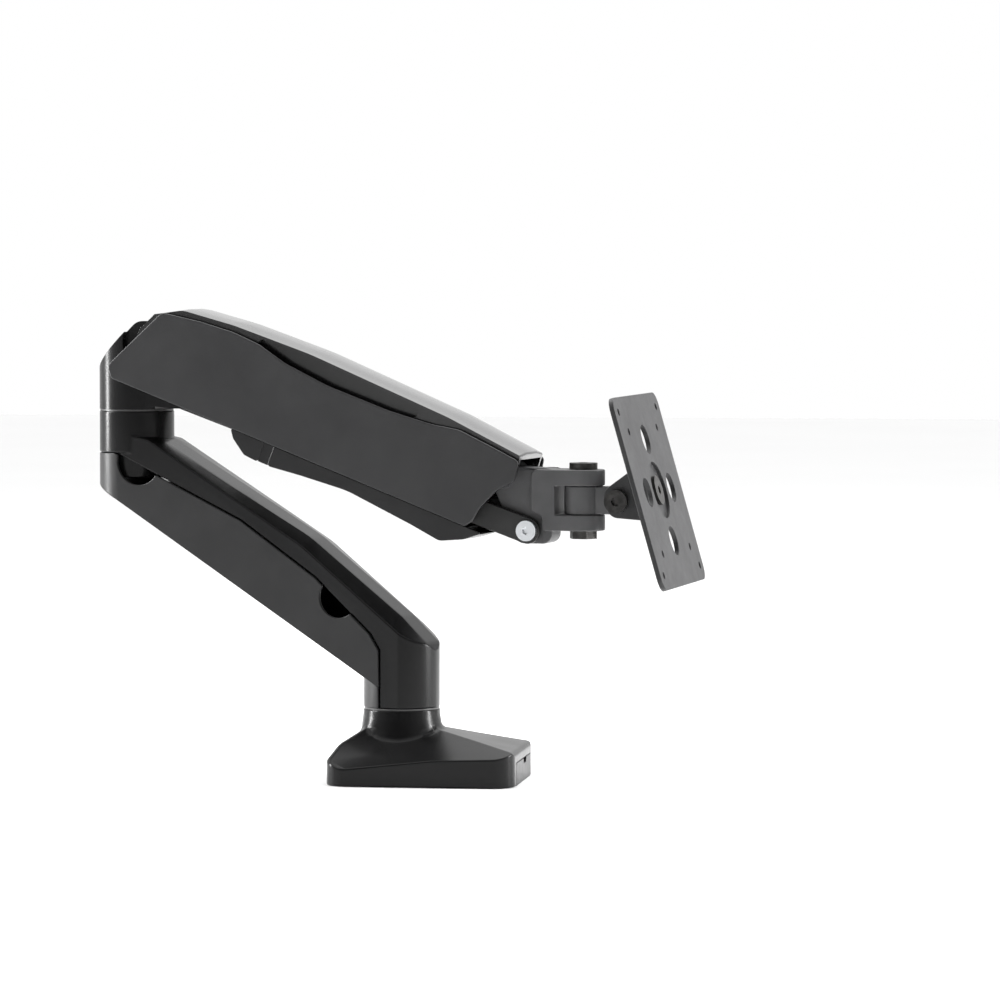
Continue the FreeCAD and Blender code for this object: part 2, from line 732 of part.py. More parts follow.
def arm_core():
    """Crowned casting: a hollow beam, open below and at both ends, with the pivots in its side walls."""
    body = new_body("arm_core", ARM)
    side = size("core_half_width")
    flat = size("crown_half_width")
    lower = [
        (-3.5, 17.2),
        (-9.5, 5, 7),
        (-9.5, -9, 6),
        (4, -13, 6),
        (34, -28, 10),
        (HEAD_X - 5, -28, 3),
        (HEAD_X - 1, -14, 3),
        (HEAD_X + 4, -3, 5),
        (HEAD_X + 12.5, 7, 3),
    ]
    stations = [(side, 0), (flat, 1.5), (-flat, 1.5), (-side, 0)]
    loft_sections(body, "XZ_Plane", [(y, crown_line(rise) + lower) for y, rise in stations])
    lower_room = [
        (-40, 16.6), (-3.5, 17.2), (8, 21.5), (30, 21.5), (46, 12), (HEAD_X - 26, 12),
        (HEAD_X - 18, 20), (HEAD_X + 40, 20),
        (HEAD_X + 40, -60), (-40, -60),
    ]
    inside = size("core_inner_half_width")
    slot(body, lower_room, f"-{inside}", inside)
    upper = size("core_upper_inner_half_width")
    upper_room = [(42, 10), (HEAD_X - 28, 10), (HEAD_X - 28, 22), (HEAD_X - 50, 25), (100, 28),
        (60, 27), (42, 24)]
    slot(body, upper_room, f"-{upper}", upper)
    scoop = [(44, 27.5, 4), (84, 29.5, 30), (130, 28.5, 40), (194, 25.4, 4), (172, 17.5, 12),
        (120, 15.2, 50), (80, 18.2, 16)]
    deep = size("scoop_depth")
    for low, high in ((side - deep, side + 5), (-side - 5, -side + deep)):
        slot(body, scoop, low, high)
    cross_hole(body, [(0, 0)], "lift_pin_radius + running_clearance + 2", -40, 40)
    cross_hole(body, [(HEAD_X, HEAD_Z)], "lift_pin_radius", -40, 40)
    boss_spots = [(size("spring_front"), -size("spring_front_drop"))]
    for low, high in (("cheek_inside", side - 1), (1 - side, "-cheek_inside")):
        sketch = draw_circles(body, "XZ_Plane", 0, boss_spots, 6.5)
        bind(sketch, "AttachmentOffset.Base.z", f"-({high})")
        pad(body, sketch, f"({high}) - ({low})")
    cross_hole(body, boss_spots, "spring_pin_radius", -40, 40)
    cross_hole(body, peg_spots(), 2.2, -40, 40)
    return body


def lift_bushes():
    """Pair of slide bushes between the lift pin and the walls of the core."""
    inside = size("core_inner_half_width")
    wall = size("core_half_width") - inside
    hole = size("lift_pin_radius") + size("running_clearance")
    bushes = [
        ring_tool(hole + 2, hole, wall, ARM, Vector(0, start, 0), "y") for start in (inside, -inside - wall)
    ]
    node(fuse(bushes), "lift_bushes")


def peg_spots():
    """Moulded pegs that hold the side covers to the core."""
    return [(32, 5), (32, -14), (HEAD_X - 36, 8), (HEAD_X - 36, -18), (120, -20)]


def side_cover(label, sign):
    """Thin moulded side panel with a wavy upper edge."""
    body = new_body(label, ARM)
    corners = [
        (-15.3, -29.4, 3), (HEAD_X - 6, -29.4, 3), (HEAD_X - 2.6, -25, 3), (HEAD_X - 0.8, -15.4, 6),
        (HEAD_X + 5.2, -2.1, 6),
        (HEAD_X + 14, 7.8, 4), (HEAD_X + 12, 19.8, 3), (HEAD_X - 8, 21.8, 30),
        (HEAD_X - 30, 23.6, 18), (188, 20.2, 60),
        (160, 18, 60), (118, 17.8, 70), (88, 20.6, 40), (68, 25.2, 22), (50, 26, 30),
        (27.7, 24.3, 60), (1.8, 20.4, 6),
        (-20.4, -22.8, 5),
    ]
    inner = size("side_cover_inside")
    outer = inner + size("side_cover_thickness")
    core = size("core_half_width")
    near, far = (inner, outer) if sign > 0 else (-outer, -inner)
    slab(body, corners, near, far)
    pegs = draw_circles(body, "XZ_Plane", 0, peg_spots(), 2.2)
    low, high = (core - 2.4, inner) if sign > 0 else (-inner, 2.4 - core)
    bind(pegs, "AttachmentOffset.Base.z", -high)
    pad(body, pegs, high - low)
    collars = draw_circles(body, "XZ_Plane", 0, peg_spots(), 4)
    low, high = (core, inner) if sign > 0 else (-inner, -core)
    bind(collars, "AttachmentOffset.Base.z", -high)
    pad(body, collars, high - low)
    return body


SPRING_TILT = math.atan2(size("spring_axis_drop") - size("spring_front_drop"), size("spring_front"))
SPRING = ARM * Placement(
    Vector(size("spring_front"), 0, -size("spring_front_drop")),
    Rotation(Vector(0, 1, 0), -math.degrees(SPRING_TILT))
)


def spring_rest_reach():
    """Distance from the spring's front pin back to its rear pin, along the spring, in the rest pose."""
    pivot = SPRING.inverse().multVec((ELBOW).multVec(SPRING_PIVOT))
    return -pivot.x


def spring_pieces():
    reach_back = spring_rest_reach()
    tube_rear = -size("spring_front") + 46
    tube_front = -11
    radius = size("spring_radius")
    rod_radius = size("spring_rod_radius")
    length = tube_front - tube_rear
    tube = rod("spring_radius", length, SPRING, Vector(tube_rear, 0, 0), "x")
    chamber = rod(radius - 1.5, length - 16, SPRING, Vector(tube_rear + 8, 0, 0), "x")
    gland = rod(rod_radius + 0.05, 20, SPRING, Vector(tube_rear - 5, 0, 0), "x")
    node(cut(cut(tube, chamber), gland), "spring_cylinder")
    eye = new_body("spring_front_eye", SPRING)
    slab(eye, [(tube_front, -6), (7, -6, 5.9), (7, 6, 5.9), (tube_front, 6)], "0.3 - spring_radius",
        "spring_radius - 0.3")
    cross_hole(eye, [(0, 0)], "spring_pin_radius", -20, 20)
    pin = size("core_half_width") - 0.6
    centre = Vector(size("spring_front"), 0, -size("spring_front_drop"))
    node(rod("spring_pin_radius", 2 * pin, ARM, centre - Vector(0, pin, 0), "y"), "spring_front_pin")

    end = new_body("spring_slotted_end", SPRING)
    clear = size("spring_slot_clearance")
    pin_radius = size("spring_pin_radius")
    slot_half = pin_radius + size("spring_slot_reach") + 0.3
    slot_width = pin_radius + clear
    wall = 3
    outer = [
        (-reach_back - slot_width - wall, -slot_half - wall, 6.5),
        (-reach_back + slot_width + wall, -slot_half - wall, 6.5),
        (-reach_back + slot_width + wall, slot_half + wall, 6.5),
        (-reach_back - slot_width - wall, slot_half + wall, 6.5),
    ]
    slab(end, outer, -6, 6)
    inner = [
        (-reach_back - slot_width, -slot_half, slot_width - 0.01),
        (-reach_back + slot_width, -slot_half, slot_width - 0.01),
        (-reach_back + slot_width, slot_half, slot_width - 0.01),
        (-reach_back - slot_width, slot_half, slot_width - 0.01),
    ]
    slot(end, inner, -10, 10)
    rod_rear = -reach_back + slot_width + wall
    rod_front = rod_rear + 105
    shaft = rod(rod_radius, rod_front - rod_rear, SPRING, Vector(rod_rear, 0, 0), "x")
    piston = rod(radius - 1.6, 8, SPRING, Vector(rod_front - 8, 0, 0), "x")
    node(fuse([shaft, piston]), "spring_rod")


# ---------------------------------------------------------------- link under the upper arm


def hold_on_web(body, span, web_top):
    """Inner ribs of a cover that grip the sides of the link's web."""
    half = size("link_cover_half_width") - 1.5
    outside = size("link_outside")
    for low, high in ((outside, half), (-half, -outside)):
        slab(body, box_corners(span[0], span[1], web_top - 3, web_top), low, high)


def link_pieces():
    rear = LINK_REAR
    front = LINK_FRONT
    eye = size("link_eye_radius")
    inside = size("link_inside")
    outside = size("link_outside")
    web_top = rear.z - eye + 0.3
    bar = new_body("link_bar", ARM)
    channel = [
        (rear.x - eye, rear.z - eye, eye * 0.97), (front.x + eye, front.z - eye, eye * 0.97),
        (front.x + eye, front.z + eye, eye * 0.97), (rear.x - eye, rear.z + eye, eye * 0.97),
    ]
    slab(bar, channel, -outside, outside)
    web_start = 74
    web_end = front.x - 38
    slab(bar, box_corners(web_start, web_end, web_top - 3, web_top + 5), -outside, outside)
    slot(bar, box_corners(-60, 330, web_top, 20), -inside, inside)
    slot(bar, box_corners(-60, web_start, -60, 20), -inside, inside)
    cross_hole(bar, [(rear.x, rear.z)], "link_pin_radius + running_clearance", -40, 40)
    cross_hole(bar, [(front.x, front.z)], "link_pin_radius", -40, 40)

    half = size("link_cover_half_width")
    bottom = -43.5
    shroud = new_body("link_rear_shroud", ARM)
    outline = [(66, -30.5, 1), (70, -36, 6), (80, bottom + 0.8, 4), (90, bottom, 2), (90, -30.5, 1)]
    slab(shroud, outline, -half, half)
    slot(shroud, [(60, -20), (94, -20), (94, bottom + 2), (81, bottom + 2.8), (69, -34.5),
        (60, -34.5)], 2 - half, half - 2)
    hold_on_web(shroud, (77, 82), web_top)
    cover = new_body("link_cover", ARM)
    tip = LINK_FRONT.x - 26
    outline = [
        (96.5, bottom, 2), (119, -41, 20), (150, -38.5, 60), (196, -42.5, 30), (216, -45, 8),
        (230, -38.5, 8), (tip + 1.5, -30.5, 1),
        (96.5, -30.5, 1),
    ]
    slab(cover, outline, -half, half)
    slot(cover, [(80, -20), (80, bottom + 2.2), (98, bottom + 2.2), (119, -39), (150, -36.3),
        (196, -40.3), (215, -42.6),
                 (228, -36.6), (tip + 10, -27), (tip + 10, -20)], 2 - half, half - 2)
    hold_on_web(cover, (104, 112), web_top)
    hold_on_web(cover, (204, 212), web_top)
    clip = new_body("link_clip", ARM)
    slab(clip, [(90, -43), (96.5, -43), (96.5, -30.5), (90, -30.5)], 0.6 - half, half - 0.6)
    slot(clip, box_corners(80, 100, -40.5, -20), -outside, outside)

    head_side = outside
    screw = [
        rod("link_pin_radius", 2 * head_side, ARM, front - Vector(0, head_side, 0), "y"),
        rod(6.2, 2.6, ARM, front - Vector(0, head_side + 2.6, 0), "y"),
    ]
    node(socket(fuse(screw), 2.3, 1.6, ARM, front - Vector(0, head_side + 2.6, 0), "y"), "link_front_screw")
    nut = document.addObject("Part::Prism", "Nut")
    nut.Polygon = 6
    nut.Circumradius = 6.6
    nut.Height = 4
    nut.Placement = ARM * Placement(front + Vector(0, head_side, 0), TURN["y"])
    node(nut, "link_front_nut")


# ---------------------------------------------------------------- head
# In this frame the head pivot is the origin and z stays upright.


def head_bracket():
    body = new_body("head_bracket", HEAD)
    ahead = size("swivel_ahead")
    middle = -size("swivel_drop")
    knuckle = size("knuckle_height") / 2 + 0.3
    ear = size("ear_thickness")
    top = middle + knuckle + ear
    bottom = middle - knuckle - ear
    lower = LINK_DROP
    web = [
        (-8.4, 0), (lower.x - 8.5, lower.z - 8, 8), (lower.x + 14, lower.z - 8, 6), (lower.x + 14, bottom),
        (lower.x + 16, top, 2), (0, top + 2),
    ]
    slab(body, web, "-head_web_half_width", "head_web_half_width")
    barrel = draw_circles(body, "XZ_Plane", 0, [(0, 0)], 8.5)
    bind(barrel, "AttachmentOffset.Base.z", "-(core_inner_half_width - side_clearance)")
    pad(body, barrel, "2 * (core_inner_half_width - side_clearance)")
    block = [(lower.x + 9, bottom, 1.5), (ahead, bottom), (ahead, top), (lower.x + 2, top, 4),
        (lower.x + 2, lower.z + 12, 2),
             (lower.x + 9, lower.z + 9, 3)]
    slab(body, block, "-head_half_width", "head_half_width")
    upright_round(body, [(ahead, 0)], "head_half_width", bottom, top)
    gap = [(ahead - size("knuckle_radius") - 2.5, middle - knuckle), (ahead + 40, middle - knuckle),
           (ahead + 40, middle + knuckle), (ahead - size("knuckle_radius") - 2.5, middle + knuckle)]
    slot(body, gap, -40, 40)
    cross_hole(body, [(0, 0)], "lift_pin_radius + running_clearance", -40, 40)
    cross_hole(body, [(lower.x, lower.z)], "link_pin_radius + running_clearance", -40, 40)
    upright_hole(body, [(ahead, 0)], "swivel_pin_radius", bottom - 20, top + 20)
    return body


def head_pieces():
    head_bracket()
    ahead = size("swivel_ahead")
    middle = -size("swivel_drop")
    knuckle = size("knuckle_height") / 2
    ear = size("ear_thickness")
    top = middle + knuckle + 0.3 + ear
    bottom = middle - knuckle - 0.3 - ear
    outer = size("core_half_width")
    node(rod("lift_pin_radius", 2 * outer, ARM, HEAD_PIVOT - Vector(0, outer, 0), "y"), "head_pin")
    bolt = [
        rod("swivel_pin_radius", top - bottom + 5, HEAD, Vector(ahead, 0, bottom - 5)),
        rod(8.5, 4, HEAD, Vector(ahead, 0, top)),
    ]
    node(socket(fuse(bolt), 3.2, 2.6, HEAD, Vector(ahead, 0, top + 1.4)), "swivel_bolt")
    nut = document.addObject("Part::Prism", "Nut")
    nut.Polygon = 6
    nut.Circumradius = 8.5
    nut.Height = 5
    nut.Placement = HEAD * Placement(Vector(ahead, 0, bottom - 5), Rotation())
    node(cut(nut, rod("swivel_pin_radius", 5, HEAD, Vector(ahead, 0, bottom - 5))), "swivel_nut")


# ---------------------------------------------------------------- yoke, tilt bracket and plate


def yoke_pieces():
    """The yoke frame has the swivel axis at x = 0 and its height at z = 0."""
    knuckle = size("knuckle_height") / 2
    tilt = size("tilt_ahead")
    yoke = new_body("head_yoke", YOKE)
    upright_round(yoke, [(0, 0)], "knuckle_radius", -knuckle, knuckle)
    slab(yoke, [(0, -8), (tilt + 8.5, -8.5, 8.2), (tilt + 8.5, 8.5, 8.2), (0, 8)], -7, 7)
    upright_hole(yoke, [(0, 0)], "swivel_pin_radius + running_clearance", -20, 20)
    cross_hole(yoke, [(tilt, 0)], "tilt_pin_radius", -20, 20)
    half = 15
    bolt = [
        rod("tilt_pin_radius", 2 * half + 5, YOKE, Vector(tilt, -half, 0), "y"),
        rod(7, 4, YOKE, Vector(tilt, -half - 4, 0), "y"),
    ]
    node(socket(fuse(bolt), 2.8, 2.4, YOKE, Vector(tilt, -half - 4, 0), "y"), "tilt_bolt")
    nut = document.addObject("Part::Prism", "Nut")
    nut.Polygon = 6
    nut.Circumradius = 7
    nut.Height = 5
    nut.Placement = YOKE * Placement(Vector(tilt, half, 0), TURN["y"])
    node(cut(nut, rod("tilt_pin_radius", 5, YOKE, Vector(tilt, half, 0), "y")), "tilt_nut")

    bracket = new_body("tilt_bracket", TILT)
    back = size("plate_back")
    side_plate = [(-7.5, -8, 7.5), (back, -17), (back, 17), (-7.5, 8, 7.5)]
    slab(bracket, side_plate, -13.5, 13.5)
    slot(bracket, [(-30, -30), (back - 4, -30), (back - 4, 30), (-30, 30)], -8.5, 8.5)
    sketch = draw_circles(bracket, "YZ_Plane", 0, [(0, 0)], 17)
    bind(sketch, "AttachmentOffset.Base.z", "plate_back - 4")
    pad(bracket, sketch, 4)
    cross_hole(bracket, [(0, 0)], "tilt_pin_radius + running_clearance", -30, 30)
    sketch = draw_circles(bracket, "YZ_Plane", 0, [(0, 0)], "plate_pivot_radius + running_clearance")
    bind(sketch, "AttachmentOffset.Base.z", "plate_back - 10")
    pocket(bracket, sketch, 20, upward=True)
    for label, side in (("tilt_washer_left", 7), ("tilt_washer_right", -8.5)):
        ring(label, 7.5, "tilt_pin_radius", 1.45, YOKE,
            Vector(tilt, side + (0.02 if side > 0 else 0.03), 0), "y")


def plate_pieces():
    """The plate frame starts where the plate's back meets the pivot axis; x points to the display."""
    disc = 1.5
    ring("plate_friction_disc", 16, "plate_pivot_radius", disc - 0.05, PLATE, Vector(0.02, 0, 0), "x")
    plate = new_body("vesa_plate", PLATE)
    half = size("plate_half_size")
    corner = size("plate_corner_radius")
    thick = size("plate_thickness")
    dish = size("plate_dish_depth")
    sketch = draw(plate, "YZ_Plane", disc + dish, box_corners(-half, half, -half, half, corner))
    pad(plate, sketch, "plate_thickness")
    sketch = draw_circles(plate, "YZ_Plane", disc, [(0, 0)], "plate_dish_radius")
    pad(plate, sketch, "plate_dish_depth + plate_thickness")
    sketch = draw_circles(plate, "YZ_Plane", disc + thick, [(0, 0)],
        "plate_dish_radius - plate_thickness + 0.5")
    pocket(plate, sketch, 20, upward=True)
    holes = []
    for name in ("vesa_small", "vesa_large"):
        spread = size(name) / 2
        holes += [(y, z) for y in (-spread, spread) for z in (-spread, spread)]
    sketch = draw_circles(plate, "YZ_Plane", disc - 1, holes, "vesa_hole_radius")
    pocket(plate, sketch, 20, upward=True)
    sketch = draw_circles(plate, "YZ_Plane", disc - 1, [(0, 0)], "plate_pivot_radius + running_clearance")
    pocket(plate, sketch, 20, upward=True)
    window = [(y * 31.5, z * 31.5) for y, z in ((1, 0), (-1, 0), (0, 1), (0, -1))]
    sketch = draw_circles(plate, "YZ_Plane", disc - 1, window, 9)
    pocket(plate, sketch, 20, upward=True)
    front = disc + thick
    bolt = [
        rod("plate_pivot_radius", front + 4 + 3, PLATE, Vector(-7, 0, 0), "x"),
        rod(9, 2.2, PLATE, Vector(front, 0, 0), "x"),
    ]
    node(socket(fuse(bolt), 2.8, 2, PLATE, Vector(front + 0.3, 0, 0), "x"), "plate_pivot_bolt")
    ring("plate_retaining_ring", 8, "plate_pivot_radius", 2.5, PLATE, Vector(-6.6, 0, 0), "x")


def write_nodes():
    document.recompute()
    problems = []
    for thing in document.Objects:
        if "Invalid" in thing.State or "Error" in thing.State:
            problems.append(f"{thing.Name} {thing.Label} {thing.State}")
    for thing in NODES:
        if thing.Shape.isNull() or not thing.Shape.isValid() or not thing.Shape.Solids:
            problems.append(f"{thing.Label}: bad shape")
    if problems:
        raise RuntimeError("; ".join(problems))
    os.makedirs("parts", exist_ok=True)
    for thing in NODES:
        thing.Shape.exportStep(f"parts/{thing.Label}.step")
        box = thing.Shape.BoundBox
        print(f"{thing.Label:24s} {len(thing.Shape.Solids)} solid(s) {thing.Shape.Volume / 1000:8.2f} cm3 "
              f"x {box.XMin:.1f}..{box.XMax:.1f} y {box.YMin:.1f}..{box.YMax:.1f} z {box.ZMin:.1f}..{box.ZMax:.1f}")


base_pieces()
lower_arm_pieces()
elbow_pieces()
arm_core()
lift_bushes()
side_cover("side_cover_left", 1)
side_cover("side_cover_right", -1)
spring_pieces()
link_pieces()
head_pieces()
yoke_pieces()
plate_pieces()
write_nodes()
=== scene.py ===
import json
import math

import bmesh
import bpy
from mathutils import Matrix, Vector


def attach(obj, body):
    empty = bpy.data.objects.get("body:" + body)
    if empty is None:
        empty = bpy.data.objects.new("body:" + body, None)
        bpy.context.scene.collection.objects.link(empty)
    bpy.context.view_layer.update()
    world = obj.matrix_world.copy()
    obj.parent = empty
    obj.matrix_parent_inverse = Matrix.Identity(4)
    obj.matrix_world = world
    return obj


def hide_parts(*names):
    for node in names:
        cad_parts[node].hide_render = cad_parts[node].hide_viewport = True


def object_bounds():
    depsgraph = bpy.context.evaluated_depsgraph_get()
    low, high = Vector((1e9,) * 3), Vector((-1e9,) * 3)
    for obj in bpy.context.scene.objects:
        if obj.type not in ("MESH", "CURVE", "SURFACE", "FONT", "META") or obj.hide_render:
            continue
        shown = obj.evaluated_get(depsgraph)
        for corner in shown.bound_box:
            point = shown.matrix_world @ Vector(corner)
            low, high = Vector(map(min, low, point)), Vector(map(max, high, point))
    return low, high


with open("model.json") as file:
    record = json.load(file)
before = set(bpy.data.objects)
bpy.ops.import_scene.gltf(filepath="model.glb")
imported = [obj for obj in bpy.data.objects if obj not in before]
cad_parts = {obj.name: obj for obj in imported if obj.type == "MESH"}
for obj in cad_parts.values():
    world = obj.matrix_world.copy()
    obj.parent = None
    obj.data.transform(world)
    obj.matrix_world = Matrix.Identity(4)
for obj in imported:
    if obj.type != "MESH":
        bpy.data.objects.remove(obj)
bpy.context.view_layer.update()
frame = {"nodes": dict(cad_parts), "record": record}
nodes = frame["nodes"]
bodies = frame["record"]["behaviour"]["bodies"]
body_of_node = {name: body for body, names in bodies.items() for name in names}
slot_of_node = {part["node"]: part["material_slot"] for part in frame["record"]["subparts"]}


# ---------------------------------------------------------------- camera

CAMERA_DISTANCE = 3.2
CAMERA_TURN = math.radians(9.0)
CAMERA_RISE = math.radians(6.0)
AIM_TURN = math.radians(7.9323)
AIM_DIP = math.radians(2.9763)
SENSOR_WIDTH = 36
FOCAL_LENGTH = 190.08
NEAREST_SEEN = 0.1
FARTHEST_SEEN = 50


def heading(turn, rise):
    """Unit vector that points back (+Y), turned about Z away from +X and raised by the rise."""
    return Vector((-math.sin(turn) * math.cos(rise), math.cos(turn) * math.cos(rise), math.sin(rise)))


def place_camera():
    """Long lens, level horizon, aimed so that the foot sits low and left of centre."""
    data = bpy.data.cameras.new("camera")
    data.sensor_width = SENSOR_WIDTH
    data.lens = FOCAL_LENGTH
    data.clip_start = NEAREST_SEEN
    data.clip_end = FARTHEST_SEEN
    camera = bpy.data.objects.new("camera", data)
    bpy.context.scene.collection.objects.link(camera)
    bpy.context.scene.camera = camera
    camera.location = -CAMERA_DISTANCE * heading(CAMERA_TURN, -CAMERA_RISE)
    camera.rotation_mode = "QUATERNION"
    camera.rotation_quaternion = heading(AIM_TURN, -AIM_DIP).to_track_quat("-Z", "Y")


# ---------------------------------------------------------------- finishes


class Finish:
    """A material with short ways to add the nodes that a surface needs."""

    PATTERN_SPAN = (0.3, 0.7)
    TINT_SPAN = (0.35, 0.65)

    def __init__(self, name):
        self.material = bpy.data.materials.new(name)
        self.material.use_nodes = True
        self.tree = self.material.node_tree
        self.shader = self.tree.nodes["Principled BSDF"]
        self.place = self.tree.nodes.new("ShaderNodeTexCoord").outputs["Object"]

    def join(self, start, end):
        self.tree.links.new(start, end)

    def noise(self, scale, detail, roughness=0.5):
        """Cloudy pattern in the object's own metres."""
        node = self.tree.nodes.new("ShaderNodeTexNoise")
        node.inputs["Scale"].default_value = scale
        node.inputs["Detail"].default_value = detail
        node.inputs["Roughness"].default_value = roughness
        self.join(self.place, node.inputs["Vector"])
        return node.outputs["Fac"]

    def cells(self, scale):
        """Close pebbles, for grain."""
        node = self.tree.nodes.new("ShaderNodeTexVoronoi")
        node.inputs["Scale"].default_value = scale
        self.join(self.place, node.inputs["Vector"])
        return node.outputs["Distance"]

    def stretched_noise(self, scale, detail):
        """Noise drawn out along one direction, for turned and brushed metal."""
        mapping = self.tree.nodes.new("ShaderNodeMapping")
        mapping.inputs["Scale"].default_value = scale
        self.join(self.place, mapping.inputs["Vector"])
        node = self.tree.nodes.new("ShaderNodeTexNoise")
        node.inputs["Scale"].default_value = 1
        node.inputs["Detail"].default_value = detail
        self.join(mapping.outputs["Vector"], node.inputs["Vector"])
        return node.outputs["Fac"]

    def spread(self, source, low, high):
        """Turns a pattern into values between low and high."""
        node = self.tree.nodes.new("ShaderNodeMapRange")
        node.inputs["From Min"].default_value = self.PATTERN_SPAN[0]
        node.inputs["From Max"].default_value = self.PATTERN_SPAN[1]
        node.inputs["To Min"].default_value = low
        node.inputs["To Max"].default_value = high
        self.join(source, node.inputs["Value"])
        return node.outputs["Result"]

    def tint(self, source, dark, light):
        """Colours the surface from dark to light by a pattern."""
        ramp = self.tree.nodes.new("ShaderNodeValToRGB")
        for stop, position, colour in zip(ramp.color_ramp.elements, self.TINT_SPAN, (dark, light)):
            stop.position = position
            stop.color = (*colour, 1)
        self.join(source, ramp.inputs["Fac"])
        self.join(ramp.outputs["Color"], self.shader.inputs["Base Color"])

    def roughness(self, source, low, high):
        self.join(self.spread(source, low, high), self.shader.inputs["Roughness"])

    def relief(self, heights):
        """Stacks bumps; each is a pattern, its strength and its depth in metres."""
        normal = None
        for pattern, strength, depth in heights:
            bump = self.tree.nodes.new("ShaderNodeBump")
            bump.inputs["Strength"].default_value = strength
            bump.inputs["Distance"].default_value = depth
            self.join(pattern, bump.inputs["Height"])
            if normal:
                self.join(normal, bump.inputs["Normal"])
            normal = bump.outputs["Normal"]
        self.join(normal, self.shader.inputs["Normal"])

    def fixed(self, **values):
        """Sets plain shader values, named as the shader names them."""
        for name, value in values.items():
            self.shader.inputs[name.replace("_", " ")].default_value = value


def satin_powder_coat():
    """Black powder coat on die-cast aluminium: faint orange peel and a broad soft gloss."""
    finish = Finish("satin powder coat")
    finish.tint(finish.noise(14, 2), (0.0062, 0.0062, 0.0064), (0.0082, 0.0082, 0.0084))
    finish.roughness(finish.noise(30, 2), 0.23, 0.27)
    finish.relief([(finish.noise(700, 1), 0.12, 0.00001)])
    finish.fixed(Specular_IOR_Level=0.2)
    return finish.material


def gloss_crown_paint():
    """Glossy black lacquer of the crown, with light dust and very fine ripple."""
    finish = Finish("gloss crown paint")
    finish.tint(finish.noise(14, 2), (0.0070, 0.0070, 0.0072), (0.0095, 0.0095, 0.0097))
    finish.roughness(finish.noise(30, 2), 0.20, 0.24)
    finish.relief([(finish.noise(500, 1), 0.10, 0.00001)])
    finish.fixed(Specular_IOR_Level=0.7, Coat_Weight=0.6, Coat_Roughness=0.16)
    return finish.material


def grained_panel_plastic():
    """Dark grey moulded panel with a fine spark-eroded grain."""
    finish = Finish("grained panel plastic")
    finish.tint(finish.noise(26, 5), (0.019, 0.019, 0.020), (0.025, 0.025, 0.026))
    finish.roughness(finish.noise(90, 4), 0.36, 0.44)
    finish.relief([(finish.cells(2600), 0.2, 0.00004), (finish.noise(1500, 3, 0.6), 0.25, 0.00004)])
    finish.fixed(Specular_IOR_Level=0.4)
    return finish.material


def satin_cover_plastic():
    """Smooth black moulding of the cable covers."""
    finish = Finish("satin cover plastic")
    finish.tint(finish.noise(30, 4), (0.011, 0.011, 0.0115), (0.015, 0.015, 0.0155))
    finish.roughness(finish.noise(80, 4), 0.33, 0.40)
    finish.relief([(finish.noise(1500, 3), 0.2, 0.00003)])
    finish.fixed(Specular_IOR_Level=0.33)
    return finish.material


def link_coat():
    """Thin flat black coat over a cast link, a little uneven."""
    finish = Finish("link coat")
    finish.tint(finish.noise(60, 5), (0.010, 0.010, 0.010), (0.020, 0.020, 0.020))
    finish.roughness(finish.noise(120, 5), 0.38, 0.52)
    finish.relief([(finish.noise(800, 5, 0.6), 0.4, 0.0001)])
    finish.fixed(Specular_IOR_Level=0.4)
    return finish.material


def grey_head_coat():
    """Matte grey coat of the head castings with a sandy texture."""
    finish = Finish("grey head coat")
    finish.tint(finish.noise(50, 5), (0.060, 0.060, 0.062), (0.082, 0.082, 0.084))
    finish.roughness(finish.noise(100, 5), 0.45, 0.58)
    finish.relief([(finish.noise(1100, 5, 0.65), 0.45, 0.00012)])
    finish.fixed(Specular_IOR_Level=0.45)
    return finish.material


def black_sheet_coat():
    """Powder coat on pressed steel, flatter and grainier than on the castings."""
    finish = Finish("black sheet coat")
    finish.tint(finish.noise(45, 5), (0.016, 0.016, 0.017), (0.026, 0.026, 0.027))
    finish.roughness(finish.noise(90, 4), 0.40, 0.52)
    finish.relief([(finish.cells(1300), 0.3, 0.0001), (finish.noise(700, 4), 0.35, 0.0001)])
    finish.fixed(Specular_IOR_Level=0.45)
    return finish.material


def slide_ring_plastic():
    """Waxy black acetal of the slide rings."""
    finish = Finish("slide ring plastic")
    finish.tint(finish.noise(140, 3), (0.028, 0.028, 0.028), (0.045, 0.045, 0.045))
    finish.roughness(finish.noise(200, 3), 0.30, 0.42)
    finish.relief([(finish.noise(1500, 3), 0.25, 0.00005)])
    finish.fixed(Specular_IOR_Level=0.5)
    return finish.material


def turned_metal(name, dark, light, low, high):
    """Bare turned steel with fine tool lines and slight staining."""
    finish = Finish(name)
    finish.tint(finish.noise(90, 3), dark, light)
    finish.roughness(finish.noise(160, 3), low, high)
    finish.relief([(finish.stretched_noise((300, 300, 4200), 2), 0.10, 0.00001)])
    finish.fixed(Metallic=1.0)
    return finish.material


def black_oxide():
    """Chemically blackened screws: dark metal with a brown-grey bloom."""
    finish = Finish("black oxide")
    finish.tint(finish.noise(260, 5), (0.030, 0.029, 0.028), (0.060, 0.058, 0.056))
    finish.roughness(finish.noise(300, 4), 0.32, 0.46)
    finish.relief([(finish.noise(1800, 3), 0.3, 0.00005)])
    finish.fixed(Metallic=0.8)
    return finish.material


def spring_tube_paint():
    """Smooth black enamel of the gas spring's cylinder."""
    finish = Finish("spring tube paint")
    finish.tint(finish.noise(50, 4), (0.010, 0.010, 0.010), (0.016, 0.016, 0.016))
    finish.roughness(finish.noise(120, 4), 0.24, 0.34)
    finish.relief([(finish.noise(500, 3), 0.3, 0.00008)])
    finish.fixed(Coat_Weight=0.3, Coat_Roughness=0.2)
    return finish.material


